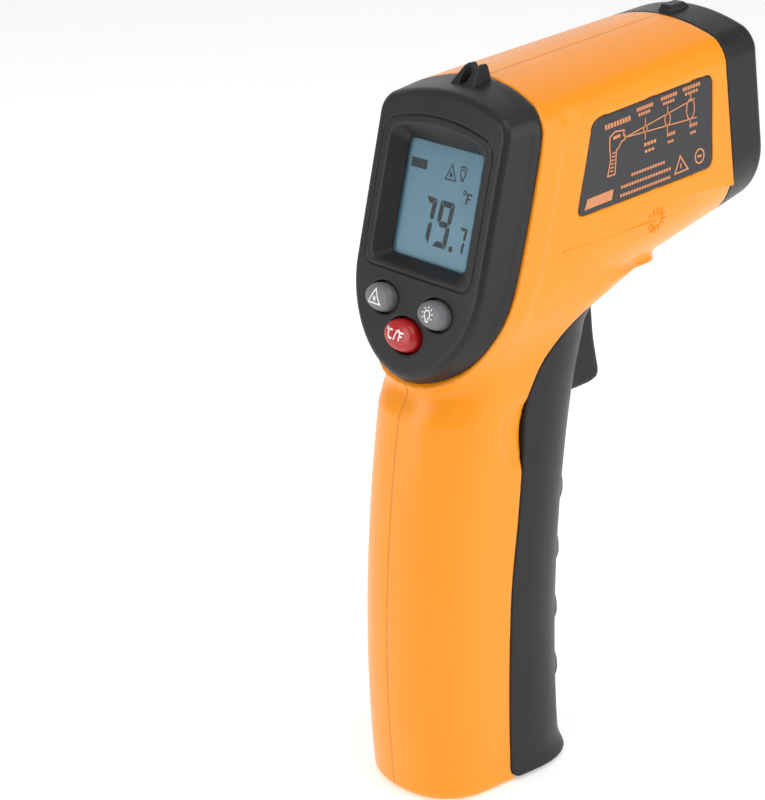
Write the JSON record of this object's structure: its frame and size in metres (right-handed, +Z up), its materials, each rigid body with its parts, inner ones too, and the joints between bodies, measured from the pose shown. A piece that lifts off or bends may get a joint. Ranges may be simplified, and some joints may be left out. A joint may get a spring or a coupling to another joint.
{
  "type": "infrared thermometer",
  "caption": "Pistol-grip infrared thermometer: tilted display bezel with keys, recessed nose lens, trigger and hinged battery door in the handle.",
  "frame": {"origin": "middle of the handle's flat base, on the plane between the two shells", "axes": "+Z up along the handle, +Y towards the target, +X to the user's right"},
  "size_m": [0.041, 0.0921, 0.1583],
  "materials": {
    "orange_shell": "satin moulded, slight gloss",
    "black_trim": "fine moulded grain",
    "side_label": "printed film",
    "clear_plastic": "polished clear",
    "lcd": "liquid crystal cell",
    "white_plastic": "moulded",
    "circuit_board": "solder mask",
    "chip_black": "moulded epoxy",
    "grey_key": "satin moulded",
    "red_key": "satin moulded",
    "brass": "turned",
    "germanium": "coated lens",
    "steel": "plated",
    "tray_plastic": "moulded",
    "cell_can": "plastic sleeve",
    "wire_red": "insulation",
    "wire_black": "insulation"
  },
  "bodies": {
    "housing": {"left_shell": "orange_shell", "right_shell": "orange_shell", "bezel": "black_trim", "nose_cap": "black_trim", "right_label": "side_label", "left_label": "side_label", "display_window": "clear_plastic", "lcd_glass": "lcd", "lcd_holder": "white_plastic", "backlight_guide": "clear_plastic", "main_board": "circuit_board", "sensor_board": "circuit_board", "trigger_board": "circuit_board", "main_chip": "chip_black", "laser_switch": "chip_black", "backlight_switch": "chip_black", "unit_switch": "chip_black", "trigger_switch": "chip_black", "lens_tube": "brass", "laser_module": "brass", "ir_lens": "germanium", "lens_ring": "black_trim", "thermopile": "steel", "trigger_spring": "steel", "battery_tray": "tray_plastic", "cell_left": "cell_can", "cell_right": "cell_can", "contact_spring_left": "steel", "contact_spring_right": "steel", "contact_plate_left": "steel", "contact_plate_right": "steel", "board_screw_1": "steel", "board_screw_2": "steel", "battery_lead_red": "wire_red", "sensor_lead": "wire_red", "battery_lead_black": "wire_black", "trigger_lead": "wire_black", "laser_lead": "wire_black", "case_screw_1": "steel", "case_screw_2": "steel", "case_screw_3": "steel", "case_screw_4": "steel"},
    "battery_door": {"battery_door": "black_trim"},
    "trigger": {"trigger": "black_trim"},
    "laser_button": {"laser_button": "grey_key"},
    "backlight_button": {"backlight_button": "grey_key"},
    "unit_button": {"unit_button": "red_key"}
  },
  "joints": [
    {"name": "battery_door_hinge", "type": "hinge", "parent": "housing", "child": "battery_door", "pos_m": [0, 0.0105, 0.0043], "axis": [-1, 0, 0], "range_deg": [0, 48]},
    {"name": "trigger_pull", "type": "hinge", "parent": "housing", "child": "trigger", "pos_m": [0, 0.033, 0.1085], "axis": [-1, 0, 0], "range_deg": [0, 6], "stiffness_Nm_per_rad": 0.4, "springref_deg": -4.58, "deforming": ["trigger_spring"]},
    {"name": "laser_button_press", "type": "slide", "parent": "housing", "child": "laser_button", "axis": [0, 0.9724, -0.2334], "range_m": [0, 0.0008], "stiffness_N_per_m": 1200, "springref_m": -0.0003},
    {"name": "backlight_button_press", "type": "slide", "parent": "housing", "child": "backlight_button", "axis": [0, 0.9724, -0.2334], "range_m": [0, 0.0008], "stiffness_N_per_m": 1200, "springref_m": -0.0003},
    {"name": "unit_button_press", "type": "slide", "parent": "housing", "child": "unit_button", "axis": [0, 0.9724, -0.2334], "range_m": [0, 0.0008], "stiffness_N_per_m": 1200, "springref_m": -0.0003}
  ]
}
